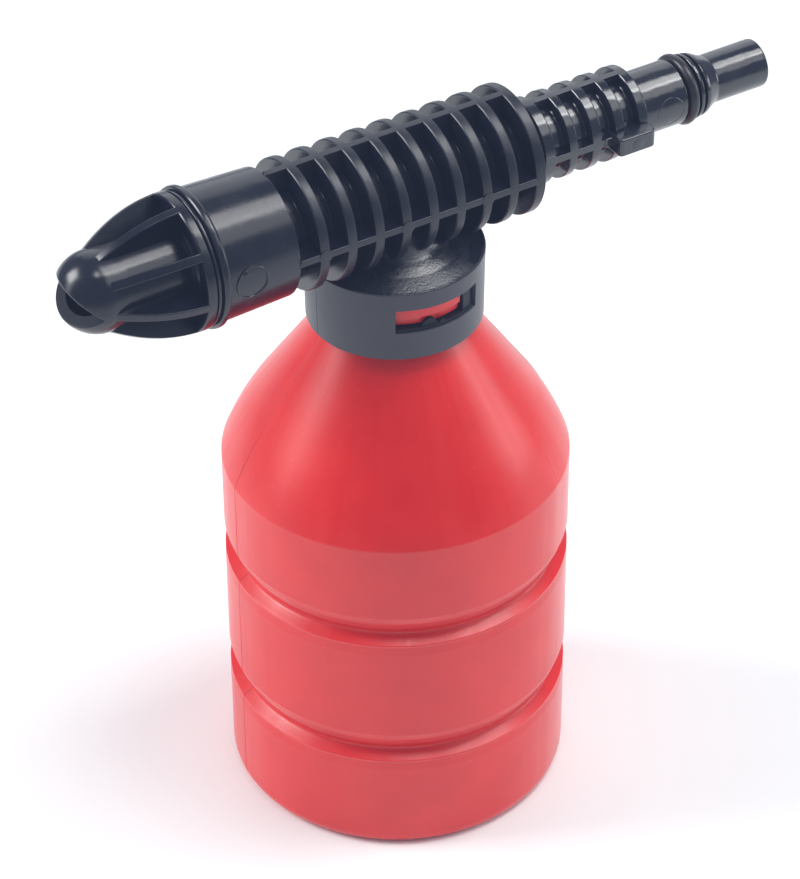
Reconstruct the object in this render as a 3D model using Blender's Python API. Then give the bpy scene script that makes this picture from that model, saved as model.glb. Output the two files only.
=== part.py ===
"""Foam bottle with a finned spray lance, for a pressure washer.

The bottle stands on its foot at z = 0 with its axis on +Z. The lance lies across the top of it,
along X: the fan nozzle points to +X and the bayonet inlet to -X. Lengths are in millimetres
and are turned into metres where a mesh is made.
"""

import math

import bmesh
import bpy
from mathutils import Matrix, Vector

MM = 0.001
GAP = 0.3  # clearance between neighbouring pieces

# Bottle
BOTTLE_R = 45.0
BOTTLE_WALL = 1.5
SHOULDER_Z = 100.5
SHOULDER_CONE_Z = (117.3, 141.5)  # the shoulder is a cone between these heights, and an arc below
SHOULDER_CONE_R = (36.0, 19.3)
SHOULDER_CORNER = 21.0  # degrees between the arc's lower end and the wall
FOOT_R = 41.0
FOOT_RECESS = 0.9
GROOVE_TOPS = (78.7, 39.2)
GROOVE_H = 9.2
GROOVE_DEPTH = 3.0
# Shares of the groove's height and depth: a long upper slope, a round floor and a short lower ledge.
GROOVE_SHAPE = ((0.0, 0.0), (0.56, 0.96), (0.76, 0.86), (0.9, 0.48), (1.0, 0.0))
NECK_R = 19.0
NECK_BORE_R = 17.0
NECK_TOP_Z = 158.6

# Bayonet between the bottle and the collar
LUG_ANGLES = (50.0, 108.5)
LUG_Z = (152.3, 154.3, 158.2)
LUG_R = (20.3, 21.0)
DETENT_ANGLES = (77.5, 87.5)  # a bump on the ledge that the lug's skirt snaps past
STOP_ANGLES = (109.4, 123.0)  # a block that the lug's end meets when the collar is locked
LEDGE_Z = (149.6, 152.0)
LEDGE_GAP_ANGLES = (-26.0, 36.5)  # an anticlockwise twist of 74 degrees brings a gap under each lug

# Collar that grips the neck
COLLAR_R = 22.7
COLLAR_BORE_R = 21.3
COLLAR_Z = (143.4, 162.6)
CEILING_Z = 161.2
WINDOW_HALF_ANGLE = 31.0
WINDOW_Z = (151.2, 158.0)
TURRET_TOP_Z = 170.5
TURRET_TOP_R = 8.0

# Lance barrel, along X at this height
LANCE_Z = 179.3
FIN_R = 16.85
CORE_R = 10.5
FIN_THICK = 2.8
FIN_PITCH = 7.67
FIRST_FIN_X = 29.2
FIN_COUNT = 9
RIB_THICK = 1.9
SLEEVE_REAR_X = 35.8
SLEEVE_FRONT_X = 57.3
SLEEVE_R = (16.4, 17.0)
FLANGE_X = (55.2, 55.9)  # where the bead round the sleeve's mouth starts and where it is full
FLANGE_R = 18.0
BARREL_REAR_X = -33.6
STEM_BORE_R = 8.5
STEM_BORE_END_X = -7.6
STEM_GROOVE_X = (-21.4, -18.6)
CHAMBER_R = 4.5
MIXER_SEAT_X = 4.0
MIXER_SEAT_R = 5.0
SLEEVE_FLOOR_X = 37.6
SLEEVE_BORE_R = 14.2

# Inlet connector
INLET_END_X = -109.0
INLET_TUBE_R = 6.4
INLET_BORE_R = 3.2
PLAIN_R = 8.5
SMALL_FIN_R = 11.4
SMALL_FIN_THICK = 2.7
SMALL_FIN_PITCH = 7.03
FIRST_SMALL_FIN_X = -38.7
SMALL_FIN_COUNT = 5
INLET_RING_X = -84.45
INLET_GROOVE_W = 4.3
INLET_GROOVE_R = 6.0
INLET_SHOULDER = ((-92.8, INLET_TUBE_R), (-89.3, 8.3), (-88.4, 8.4), (-88.4, 7.3), (-87.6, 7.3),
                  (-87.6, 8.6))
INLET_RIB_REAR_X = -55.4
EAR_X = (-66.9, -57.2)
EAR_REACH = 15.2
EAR_THICK = 3.8

# Fan nozzle cap
CAP_REAR_X = 53.0
CAP_SPIGOT_R = 13.8
CAP_GROOVE_X = (54.0, 56.2)
CAP_GROOVE_R = 12.6
CAP_NECK_X = (57.6, 59.2)
CLIP_X = (58.0, 58.7)
CLIP_ANGLES = (-60.0, 285.0)  # degrees about the lance axis, from +Y
CAP_NECK_R = 16.0
CAP_RIM_R = 17.4
CAP_RIM_FRONT_X = 61.4
CAP_TUBE_R = 9.8
CAP_BORE_R = 7.5
DOME_X = 82.1
DOME_R = 10.3
CAP_RIB_THICK = 2.2
CAP_RIB_EDGE = ((66.0, 16.7), (72.0, 15.2), (78.0, 12.8), (82.5, 9.9), (86.0, 6.0))  # (x, radius)
CAP_TURN = -10.0  # degrees about the lance axis, as it was left set
SLOT_APEX_X = 85.3
SLOT_HALF_ANGLE = 39.0

# Suction line under the barrel
VALVE_BORE_R = 5.0
BOSS_R = 7.4
BOSS_BOTTOM_Z = 152.3
VALVE_ROOF_Z = 167.2
BALL_R = 2.4
BALL_REST_Z = 160.9  # it can rise 1.5 before the coils of its spring close up
PORT_R = 1.7
TUBE_R = 3.2
TUBE_BORE_R = 2.05
TUBE_Z = (11.0, 149.9)
STRAINER_Z = (3.2, 20.0)
STRAINER_R = (6.0, 5.0)
STRAINER_BORE_R = 1.6
VENT_AT = (9.95, -7.6)

# Pieces inside the lance, as outlines of (x, radius) points
ORIFICE = ((-13.7, 0.9), (-13.7, 3.2), (-8.2, 3.2), (-8.2, 0.5), (-9.6, 0.5), (-12.4, 0.9))
MIXER_FLANGE_X = (SLEEVE_FLOOR_X + GAP, 39.8)
MIXER_THROAT = ((14.0, 2.0), (9.0, 2.0))
MIXER_BORE_R = (3.6, 3.8)
CHAMBER_DISC_R = 13.8
MESH_ROLL = ((40.2, 0.0), (40.2, 13.6), (49.8, 13.6), (49.8, 0.0))
RETAINER_X = (50.2, 52.4)
RETAINER_HOLE_R = 2.6
RETAINER_HOLES_AT = 8.6

# Pieces round the bottle's axis, as outlines of (radius, z) points
GASKET = ((16.2, 158.9), (18.8, 158.9), (18.8, 160.9), (16.2, 160.9))
NIPPLE_TAIL = ((1.1, 141.0), (1.55, 141.0), (1.75, 142.0), (1.75, 150.2), (7.0, 150.2), (7.0, 152.0))
NIPPLE_PLUG_R = VALVE_BORE_R - GAP
NIPPLE_PLUG = ((NIPPLE_PLUG_R, 152.0), (NIPPLE_PLUG_R, 153.6), (3.6, 153.6), (3.6, 155.6),
               (NIPPLE_PLUG_R, 155.6), (NIPPLE_PLUG_R, 159.4), (2.2, 159.4), (1.1, 158.3))

# O-rings: the place along the axis, the radius to the section's middle, and the section's radius
INLET_O_RING = (INLET_RING_X, 7.85, 1.5)
STEM_O_RING = (-20.0, 7.3, 0.85)
NOZZLE_O_RING = (55.1, 13.35, 0.6)
NIPPLE_O_RING = (154.6, 4.35, 0.45)

SPRING_WIRE_R = 0.18
SPRING_COIL_R = 1.75
SPRING_TURNS = 4

BLACK = (0.035, 0.038, 0.045)
RED = (0.62, 0.045, 0.05)


def clear_scene():
    for old in list(bpy.data.objects):
        bpy.data.objects.remove(old)


def material(name, colour, roughness, metallic=0.0):
    made = bpy.data.materials.new(name)
    made.use_nodes = True
    shader = made.node_tree.nodes["Principled BSDF"]
    shader.inputs["Base Color"].default_value = (*colour, 1.0)
    shader.inputs["Roughness"].default_value = roughness
    shader.inputs["Metallic"].default_value = metallic
    return made


def make_object(name, mesh_source, finish=None):
    """A mesh object from a bmesh whose lengths are in millimetres."""
    bmesh.ops.recalc_face_normals(mesh_source, faces=mesh_source.faces)
    mesh_source.transform(Matrix.Scale(MM, 4))
    mesh = bpy.data.meshes.new(name)
    mesh_source.to_mesh(mesh)
    mesh_source.free()
    mesh.shade_smooth()
    mesh.set_sharp_from_angle(angle=math.radians(35))
    made = bpy.data.objects.new(name, mesh)
    bpy.context.scene.collection.objects.link(made)
    if finish:
        mesh.materials.append(finish)
    return made


def turned_mesh(profile, steps):
    """A closed outline of (radius, height) points, spun round the Z axis."""
    shape = bmesh.new()
    points = [shape.verts.new((radius, 0.0, height)) for radius, height in profile]
    edges = [shape.edges.new((a, b)) for a, b in zip(points, points[1:] + points[:1])]
    bmesh.ops.spin(shape, geom=points + edges, cent=(0, 0, 0), axis=(0, 0, 1),
                   angle=math.tau, steps=steps, use_merge=True)
    bmesh.ops.remove_doubles(shape, verts=shape.verts, dist=1e-4)
    bmesh.ops.dissolve_degenerate(shape, edges=shape.edges, dist=1e-5)
    on_axis = [edge for edge in shape.edges if not edge.link_faces]
    bmesh.ops.delete(shape, geom=on_axis, context="EDGES")
    return shape


def turned(name, profile, steps, finish=None):
    return make_object(name, turned_mesh(profile, steps), finish)


def turned_on_lance(name, profile, steps, finish=None):
    """A closed outline of (x, radius) points, spun round the lance's axis."""
    shape = turned_mesh([(radius, x) for x, radius in profile], steps)
    # The outline's height becomes X; the ring starts at the top of the barrel.
    shape.transform(Matrix.Translation((0, 0, LANCE_Z)) @ Matrix.Rotation(math.pi / 2, 4, "Y"))
    return make_object(name, shape, finish)


def box(name, low, high, finish=None):
    shape = bmesh.new()
    bmesh.ops.create_cube(shape, size=1.0)
    low, high = Vector(low), Vector(high)
    bmesh.ops.scale(shape, vec=high - low, verts=shape.verts)
    bmesh.ops.translate(shape, vec=(low + high) / 2, verts=shape.verts)
    return make_object(name, shape, finish)


def extruded(name, outline, depth, placed, finish=None):
    """An outline in the XZ plane, given thickness along Y about its middle, then placed."""
    shape = bmesh.new()
    rim = [shape.verts.new((x, -depth / 2, z)) for x, z in outline]
    face = shape.faces.new(rim)
    grown = bmesh.ops.extrude_face_region(shape, geom=[face])
    moved = [item for item in grown["geom"] if isinstance(item, bmesh.types.BMVert)]
    bmesh.ops.translate(shape, vec=(0, depth, 0), verts=moved)
    shape.transform(placed)
    return make_object(name, shape, finish)


def swept(name, corners, axis, angles, steps, finish=None):
    """A closed outline turned part of the way round an axis through the origin, with flat ends."""
    shape = bmesh.new()
    rim = [shape.verts.new(corner) for corner in corners]
    edges = [shape.edges.new((a, b)) for a, b in zip(rim, rim[1:] + rim[:1])]
    first, last = (math.radians(angle) for angle in angles)
    bmesh.ops.rotate(shape, cent=(0, 0, 0), matrix=Matrix.Rotation(first, 3, axis), verts=rim)
    direction = Vector((axis == "X", axis == "Y", axis == "Z"))
    bmesh.ops.spin(shape, geom=rim + edges, cent=(0, 0, 0), axis=direction, angle=last - first,
                   steps=steps)
    bmesh.ops.holes_fill(shape, edges=shape.edges, sides=len(corners))
    return make_object(name, shape, finish)


def sector(name, radii, heights, angles, finish=None, step=6.0):
    """Part of a ring round Z, between two angles in degrees."""
    corners = [(radii[0], 0, heights[0]), (radii[1], 0, heights[0]),
               (radii[1], 0, heights[1]), (radii[0], 0, heights[1])]
    steps = max(2, round((angles[1] - angles[0]) / step))
    return swept(name, corners, "Z", angles, steps, finish)


def rod(name, radius, start, end, steps=20, finish=None):
    """A round bar from one point to another."""
    start, end = Vector(start), Vector(end)
    shape = bmesh.new()
    bmesh.ops.create_cone(shape, cap_ends=True, segments=steps, radius1=radius,
                          radius2=radius, depth=(end - start).length)
    turn = Vector((0, 0, 1)).rotation_difference(end - start).to_matrix().to_4x4()
    shape.transform(Matrix.Translation((start + end) / 2) @ turn)
    return make_object(name, shape, finish)


def combine(target, tools, operation):
    """Joins or cuts target with helper shapes, which are then left out of the render."""
    for tool in tools:
        cut = target.modifiers.new(tool.name, "BOOLEAN")
        cut.operation = operation
        cut.solver = "EXACT"
        cut.object = tool
        tool.hide_render = True
        tool.display_type = "WIRE"


def move_origin(target, point):
    """Puts the object's origin on a point of its joint's axis, without moving its mesh."""
    where = Vector(point) * MM
    target.data.transform(Matrix.Translation(-where))
    target.location = where


def ring_profile(centre_radius, centre_height, section, count=6):
    return [(centre_radius + section * math.cos(math.tau * i / count),
             centre_height + section * math.sin(math.tau * i / count)) for i in range(count)]


# ---------------------------------------------------------------- bottle


def shoulder_arc(count):
    """(radius, height) points on the arc from the cone down to the wall."""
    cone_r, wall_r = SHOULDER_CONE_R[0], BOTTLE_R
    drop = SHOULDER_CONE_Z[0] - SHOULDER_Z
    chord = math.hypot(wall_r - cone_r, drop)
    lean = math.atan2(wall_r - cone_r, drop)
    half = lean - math.radians(SHOULDER_CORNER)
    radius = chord / (2 * math.sin(half))
    centre_r = wall_r - radius * math.cos(lean - half)
    centre_z = SHOULDER_Z - radius * math.sin(lean - half)
    angles = [lean + half - 2 * half * i / (count - 1) for i in range(count)]
    return [(centre_r + radius * math.cos(a), centre_z + radius * math.sin(a)) for a in angles]


def groove_points(top, inward):
    """Outline points down one belt groove, moved inward by the wall's thickness."""
    return [(BOTTLE_R - inward - GROOVE_DEPTH * depth, top - GROOVE_H * along)
            for along, depth in GROOVE_SHAPE]


def make_bottle(finish):
    shoulder = [(SHOULDER_CONE_R[1], SHOULDER_CONE_Z[1])] + shoulder_arc(6)
    outer = [(NECK_R, NECK_TOP_Z), (NECK_R, SHOULDER_CONE_Z[1] + 0.6)] + shoulder
    for top in GROOVE_TOPS:
        outer += groove_points(top, 0.0)
    heel = BOTTLE_R - FOOT_R
    outer += [(FOOT_R + heel * math.cos(a), heel - heel * math.sin(a))
              for a in (0.0, math.pi / 4, math.pi / 2)]
    outer += [(FOOT_R - 4.5, 0.0), (FOOT_R - 6.0, FOOT_RECESS), (0.0, FOOT_RECESS)]
    wall = BOTTLE_WALL
    inner = [(0.0, FOOT_RECESS + wall), (FOOT_R - 1.0, FOOT_RECESS + wall),
             (BOTTLE_R - wall, FOOT_RECESS + wall + 3.4)]
    for top in reversed(GROOVE_TOPS):
        belt = groove_points(top, wall)
        inner += [belt[4], belt[2], belt[1], belt[0]]
    inner += [(radius - wall, height) for radius, height in reversed(shoulder[1:-1:2])]
    inner += [(NECK_BORE_R, SHOULDER_CONE_Z[1] - 0.8), (NECK_BORE_R, NECK_TOP_Z)]
    made = turned("bottle", outer + inner, 36, finish)
    lugs = []
    for turn in (0.0, 180.0):
        ends = (LUG_ANGLES[0] + turn, LUG_ANGLES[1] + turn)
        low, middle, high = LUG_Z
        lugs.append(sector(f"lug_skirt_{turn:.0f}", (NECK_R - 0.7, LUG_R[0]), (low, high), ends))
        lugs.append(sector(f"lug_{turn:.0f}", (NECK_R - 0.8, LUG_R[1]), (middle, high), ends))
    combine(made, lugs, "UNION")
    return made


# ---------------------------------------------------------------- lance housing


def barrel_profile():
    """The outside of the barrel and sleeve as (x, radius) points, closed along the axis."""
    points = [(BARREL_REAR_X, 0.0), (BARREL_REAR_X, CORE_R)]
    for index in reversed(range(FIN_COUNT)):
        middle = FIRST_FIN_X - FIN_PITCH * index
        points += [(middle - FIN_THICK / 2, CORE_R), (middle - FIN_THICK / 2, FIN_R),
                   (middle + FIN_THICK / 2, FIN_R), (middle + FIN_THICK / 2, CORE_R)]
    points += [(SLEEVE_REAR_X, CORE_R), (SLEEVE_REAR_X, SLEEVE_R[0]), (FLANGE_X[0], SLEEVE_R[1]),
               (FLANGE_X[1], FLANGE_R), (SLEEVE_FRONT_X, FLANGE_R), (SLEEVE_FRONT_X, 0.0)]
    return points


def turret_profile():
    """The collar skirt with its shallow roof, rising to the barrel."""
    low, high = COLLAR_Z
    roof = [(COLLAR_R - 0.7, high), (COLLAR_R - 1.1, high - 0.5), (17.0, high + 1.3),
            (12.5, high + 3.6), (TURRET_TOP_R, TURRET_TOP_Z), (0.0, TURRET_TOP_Z)]
    inside = [(0.0, CEILING_Z), (COLLAR_BORE_R, CEILING_Z), (COLLAR_BORE_R, low)]
    return [(COLLAR_R - 0.3, low), (COLLAR_R, high - 0.3)] + roof + inside


def make_housing(finish):
    made = turned_on_lance("lance_housing", barrel_profile(), 32, finish)
    reach = FIN_R + 0.05
    rear = FIRST_FIN_X - FIN_PITCH * (FIN_COUNT - 1)
    half = RIB_THICK / 2
    joined = [
        box("rib_upright", (rear, -half, LANCE_Z - reach), (SLEEVE_REAR_X + 0.5, half, LANCE_Z + reach)),
        box("rib_level", (rear, -reach, LANCE_Z - half), (SLEEVE_REAR_X + 0.5, reach, LANCE_Z + half)),
        turned("collar_shell", turret_profile(), 36),
        turned("suction_boss", [(BOSS_R, CEILING_Z + 0.6), (BOSS_R, BOSS_BOTTOM_Z),
                                (0.0, BOSS_BOTTOM_Z), (0.0, CEILING_Z + 0.6)], 20),
    ]
    for side in (0.0, 180.0):
        first = LEDGE_GAP_ANGLES[1] + side
        ledge = (first, first + 180.0 - (LEDGE_GAP_ANGLES[1] - LEDGE_GAP_ANGLES[0]))
        joined.append(sector(f"ledge_{side:.0f}", (NECK_R + 0.4, COLLAR_BORE_R + 0.6), LEDGE_Z, ledge))
        stop = tuple(angle + side for angle in STOP_ANGLES)
        joined.append(sector(f"stop_{side:.0f}", (NECK_R + 0.4, COLLAR_BORE_R + 0.55),
                             (LEDGE_Z[1] - 0.4, CEILING_Z + 0.4), stop, step=4.0))
        bump = tuple(angle + side for angle in DETENT_ANGLES)
        joined.append(sector(f"detent_{side:.0f}", (LUG_R[0] + GAP, COLLAR_BORE_R + 0.5),
                             (LEDGE_Z[1] - 0.4, LUG_Z[1] - GAP), bump, step=5.0))
    combine(made, joined, "UNION")
    sleeve = [(SLEEVE_FRONT_X + 1, 0.0), (SLEEVE_FRONT_X + 1, SLEEVE_BORE_R),
              (SLEEVE_FLOOR_X, SLEEVE_BORE_R), (SLEEVE_FLOOR_X, MIXER_SEAT_R),
              (MIXER_SEAT_X, MIXER_SEAT_R), (MIXER_SEAT_X, CHAMBER_R),
              (STEM_BORE_END_X, CHAMBER_R), (STEM_BORE_END_X, STEM_BORE_R),
              (BARREL_REAR_X - 1, STEM_BORE_R), (BARREL_REAR_X - 1, 0.0)]
    vent_x, vent_y = VENT_AT
    hole_y = vent_y - 2.1
    cutters = [
        turned_on_lance("lance_bore", sleeve, 24),
        rod("valve_bore", VALVE_BORE_R, (0, 0, BOSS_BOTTOM_Z - 1), (0, 0, VALVE_ROOF_Z), 16),
        rod("suction_port", PORT_R, (0, 0, VALVE_ROOF_Z - 1), (0, 0, LANCE_Z), 8),
        rod("vent_stem_hole", 1.0, (vent_x, vent_y, CEILING_Z - 1), (vent_x, vent_y, TURRET_TOP_Z), 8),
        rod("vent_hole", 0.6, (vent_x, hole_y, CEILING_Z - 1), (vent_x, hole_y, TURRET_TOP_Z), 6),
    ]
    for side in (90.0, 270.0):
        ends = (side - WINDOW_HALF_ANGLE, side + WINDOW_HALF_ANGLE)
        cutters.append(sector(f"window_{side:.0f}", (COLLAR_BORE_R - 0.25, COLLAR_R + 1), WINDOW_Z, ends))
    combine(made, cutters, "DIFFERENCE")
    return made


# ---------------------------------------------------------------- inlet connector


def connector_profile():
    """The connector's outside as (x, radius) points from its inlet end forward, then its bore."""
    ring = INLET_RING_X
    half = INLET_GROOVE_W / 2
    points = [(INLET_END_X, INLET_BORE_R + 0.6), (INLET_END_X, INLET_TUBE_R - 0.5),
              (INLET_END_X + 0.5, INLET_TUBE_R), *INLET_SHOULDER,
              (ring - half, INLET_SHOULDER[-1][1]), (ring - half, INLET_GROOVE_R),
              (ring + half, INLET_GROOVE_R), (ring + half, PLAIN_R)]
    for index in reversed(range(SMALL_FIN_COUNT)):
        middle = FIRST_SMALL_FIN_X - SMALL_FIN_PITCH * index
        points += [(middle - SMALL_FIN_THICK / 2, PLAIN_R), (middle - SMALL_FIN_THICK / 2, SMALL_FIN_R),
                   (middle + SMALL_FIN_THICK / 2, SMALL_FIN_R), (middle + SMALL_FIN_THICK / 2, PLAIN_R)]
    stem = STEM_BORE_R - GAP
    rear, front = STEM_GROOVE_X
    seat = ORIFICE[0][0] - GAP
    points += [(BARREL_REAR_X - GAP, PLAIN_R), (BARREL_REAR_X - GAP, stem),
               (rear, stem), (rear, stem - 2.0), (front, stem - 2.0), (front, stem),
               (STEM_BORE_END_X - GAP, stem), (STEM_BORE_END_X - GAP, INLET_BORE_R + GAP),
               (seat, INLET_BORE_R + GAP), (seat, INLET_BORE_R), (INLET_END_X + 0.8, INLET_BORE_R)]
    return points


def make_connector(finish):
    made = turned_on_lance("inlet_connector", connector_profile(), 20, finish)
    rear = FIRST_SMALL_FIN_X - SMALL_FIN_PITCH * (SMALL_FIN_COUNT - 1)
    half = 1.0
    reach = SMALL_FIN_R + 0.05
    root = INLET_BORE_R + 3.5
    joined = []
    for name, sign in (("top", 1), ("bottom", -1)):
        ends = sorted((LANCE_Z + sign * root, LANCE_Z + sign * reach))
        joined.append(box(f"inlet_rib_{name}", (rear, -half, ends[0]),
                          (FIRST_SMALL_FIN_X, half, ends[1])))
    for name, sign in (("left", 1), ("right", -1)):
        ends = sorted((sign * root, sign * reach))
        joined.append(box(f"inlet_rib_{name}", (INLET_RIB_REAR_X, ends[0], LANCE_Z - half),
                          (FIRST_SMALL_FIN_X, ends[1], LANCE_Z + half)))
        x0, x1 = EAR_X
        corner = 1.5
        outline = [(x0, root), (x1, root), (x1, EAR_REACH - corner), (x1 - corner, EAR_REACH),
                   (x0 + corner, EAR_REACH), (x0, EAR_REACH - corner)]
        placed = Matrix.Translation((0, 0, LANCE_Z)) @ Matrix.Rotation(-sign * math.pi / 2, 4, "X")
        joined.append(extruded(f"ear_{name}", outline, EAR_THICK, placed))
    combine(made, joined, "UNION")
    return made


# ---------------------------------------------------------------- fan nozzle cap


def cap_rib_outline():
    """One rib plate across the cap, following its ogive on both sides."""
    edge = [(CAP_RIM_FRONT_X - 1.0, CAP_RIM_R - 0.2), *CAP_RIB_EDGE]
    return edge + [(x, -radius) for x, radius in reversed(edge)]


def arc(centre, radius, start, end, count):
    """(x, radius) points on an arc about a centre on the axis, angles from +X in degrees."""
    steps = [math.radians(start + (end - start) * i / (count - 1)) for i in range(count)]
    return [(centre + radius * math.cos(a), radius * math.sin(a)) for a in steps]


def make_cap(finish):
    groove, spigot, rim, front = CAP_GROOVE_X, CAP_SPIGOT_R, CAP_RIM_R, CAP_RIM_FRONT_X
    outside = [(CAP_REAR_X, 0.0), (CAP_REAR_X, spigot), (groove[0], spigot), (groove[0], CAP_GROOVE_R),
               (groove[1], CAP_GROOVE_R), (groove[1], spigot), (CAP_NECK_X[0], spigot),
               (CAP_NECK_X[0], CAP_NECK_R), (CAP_NECK_X[1], CAP_NECK_R), (CAP_NECK_X[1], rim),
               (front - 0.5, rim), (front, rim - 0.4), (front, CAP_TUBE_R), (79.0, CAP_TUBE_R)]
    outside += arc(DOME_X, DOME_R, 90, 0, 8)
    made = turned_on_lance("nozzle_cap", outside, 24, finish)
    turn = Matrix.Translation((0, 0, LANCE_Z)) @ Matrix.Rotation(math.radians(CAP_TURN), 4, "X")
    ribs = []
    for index in range(4):
        placed = turn @ Matrix.Rotation(math.radians(45 * index), 4, "X")
        ribs.append(extruded(f"cap_rib_{index}", cap_rib_outline(), CAP_RIB_THICK, placed))
    combine(made, ribs, "UNION")
    hollow = [(CAP_REAR_X - 1, 0.0), (CAP_REAR_X - 1, 11.4), (57.5, 11.4), (61.0, CAP_BORE_R)]
    hollow += arc(DOME_X, CAP_BORE_R, 90, 0, 7)
    depth = 12.0
    rise = depth * math.tan(math.radians(SLOT_HALF_ANGLE))
    wedge = [(SLOT_APEX_X, 0.0), (SLOT_APEX_X + depth, rise), (SLOT_APEX_X + depth, -rise)]
    cutters = [
        turned_on_lance("cap_bore", hollow, 20),
        extruded("fan_slot", wedge, 40.0, turn),
    ]
    combine(made, cutters, "DIFFERENCE")
    move_origin(made, (CAP_NECK_X[0], 0, LANCE_Z))
    return made


def make_clip_ring(finish):
    """An open ring in the groove behind the cap's rim. Its gap is low on the left."""
    rear, front = CLIP_X
    inner, outer = CAP_NECK_R + GAP, CAP_NECK_R + 1.1
    corners = [(rear, inner, 0), (front, inner, 0), (front, outer, 0), (rear, outer, 0)]
    made = swept("nozzle_clip_ring", corners, "X", CLIP_ANGLES, 24, finish)
    made.data.transform(Matrix.Translation((0, 0, LANCE_Z * MM)))
    return made


# ---------------------------------------------------------------- inner pieces


def make_orifice(finish):
    return turned_on_lance("jet_orifice", ORIFICE, 16, finish)


def make_mixing_tube(finish):
    rear, front = MIXER_FLANGE_X
    shank = MIXER_SEAT_R - GAP
    outside = [(MIXER_SEAT_X + GAP, MIXER_BORE_R[0]), (MIXER_SEAT_X + GAP, shank), (rear, shank),
               (rear, CHAMBER_DISC_R), (front, CHAMBER_DISC_R), (front, MIXER_BORE_R[1])]
    return turned_on_lance("mixing_tube", outside + list(MIXER_THROAT), 16, finish)


def make_retainer(finish):
    """A disc with one hole in the middle and six round it."""
    rear, front = RETAINER_X
    disc = [(rear, 0.0), (rear, CHAMBER_DISC_R), (front, CHAMBER_DISC_R), (front, 0.0)]
    made = turned_on_lance("mesh_retainer", disc, 20, finish)
    holes = []
    for index in range(7):
        turn = math.tau * index / 6
        reach = 0.0 if index == 6 else RETAINER_HOLES_AT
        y, z = reach * math.cos(turn), LANCE_Z + reach * math.sin(turn)
        holes.append(rod(f"retainer_hole_{index}", RETAINER_HOLE_R, (rear - 1, y, z), (front + 1, y, z), 8))
    combine(made, holes, "DIFFERENCE")
    return made


def make_nipple(finish):
    """Its plug fills the boss, its tail holds the dip tube, and its top is the ball's seat."""
    return turned("suction_nipple", NIPPLE_TAIL + NIPPLE_PLUG, 20, finish)


def make_spring(finish):
    """Light coil between the ball and the valve chamber's roof."""
    low = BALL_REST_Z + BALL_R + GAP + SPRING_WIRE_R
    high = VALVE_ROOF_Z - GAP - SPRING_WIRE_R
    per_turn = 12
    path = bpy.data.curves.new("check_spring", "CURVE")
    path.dimensions = "3D"
    path.bevel_depth = SPRING_WIRE_R * MM
    path.bevel_resolution = 1
    path.use_fill_caps = True
    line = path.splines.new("POLY")
    last = SPRING_TURNS * per_turn
    line.points.add(last)
    for index in range(last + 1):
        turn = math.tau * index / per_turn
        x, y = SPRING_COIL_R * math.cos(turn), SPRING_COIL_R * math.sin(turn)
        z = low + (high - low) * index / last
        line.points[index].co = (x * MM, y * MM, z * MM, 1)
    path.materials.append(finish)
    made = bpy.data.objects.new("check_spring", path)
    bpy.context.scene.collection.objects.link(made)
    return made


def make_ball(finish):
    shape = bmesh.new()
    bmesh.ops.create_uvsphere(shape, u_segments=14, v_segments=8, radius=BALL_R)
    bmesh.ops.translate(shape, vec=(0, 0, BALL_REST_Z), verts=shape.verts)
    made = make_object("check_ball", shape, finish)
    move_origin(made, (0, 0, BALL_REST_Z))
    return made


def make_strainer(finish):
    """A slotted foot that the dip tube stands in."""
    low, top = STRAINER_Z
    foot_r, neck_r = STRAINER_R
    socket_r, socket_z = TUBE_R + GAP, TUBE_Z[0] - GAP
    profile = [(STRAINER_BORE_R, low), (foot_r, low), (foot_r, socket_z - 1.7), (neck_r, socket_z - 0.3),
               (neck_r, top), (socket_r, top), (socket_r, socket_z), (STRAINER_BORE_R, socket_z)]
    made = turned("tube_strainer", profile, 20, finish)
    slots = []
    outline = [(-8.0, -2.0), (8.0, -2.0), (8.0, 1.2), (-8.0, 1.2)]
    for index in range(2):
        placed = Matrix.Rotation(math.radians(90 * index), 4, "Z") @ Matrix.Translation((0, 0, low + 0.6))
        slots.append(extruded(f"strainer_slot_{index}", outline, STRAINER_BORE_R, placed))
    combine(made, slots, "DIFFERENCE")
    return made


def make_vent_valve(finish):
    """Umbrella valve under the collar's ceiling: air goes in, liquid stays."""
    top = CEILING_Z - GAP
    stem_top = CEILING_Z + 2.6
    stem_r, skirt_r = 0.65, 3.4
    profile = [(0.0, stem_top), (stem_r, stem_top - 0.4), (stem_r, top), (skirt_r, top - 0.3),
               (skirt_r, top - 0.7), (0.9, top - 1.2), (0.0, top - 1.2)]
    made = turned("vent_valve", profile, 16, finish)
    made.data.transform(Matrix.Translation((VENT_AT[0] * MM, VENT_AT[1] * MM, 0)))
    return made


def lance_ring(name, size, steps, finish):
    x, centre_radius, section = size
    profile = [(height + x, radius) for radius, height in ring_profile(centre_radius, 0.0, section)]
    return turned_on_lance(name, profile, steps, finish)


def neck_ring(name, size, steps, finish):
    z, centre_radius, section = size
    return turned(name, ring_profile(centre_radius, z, section), steps, finish)


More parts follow.
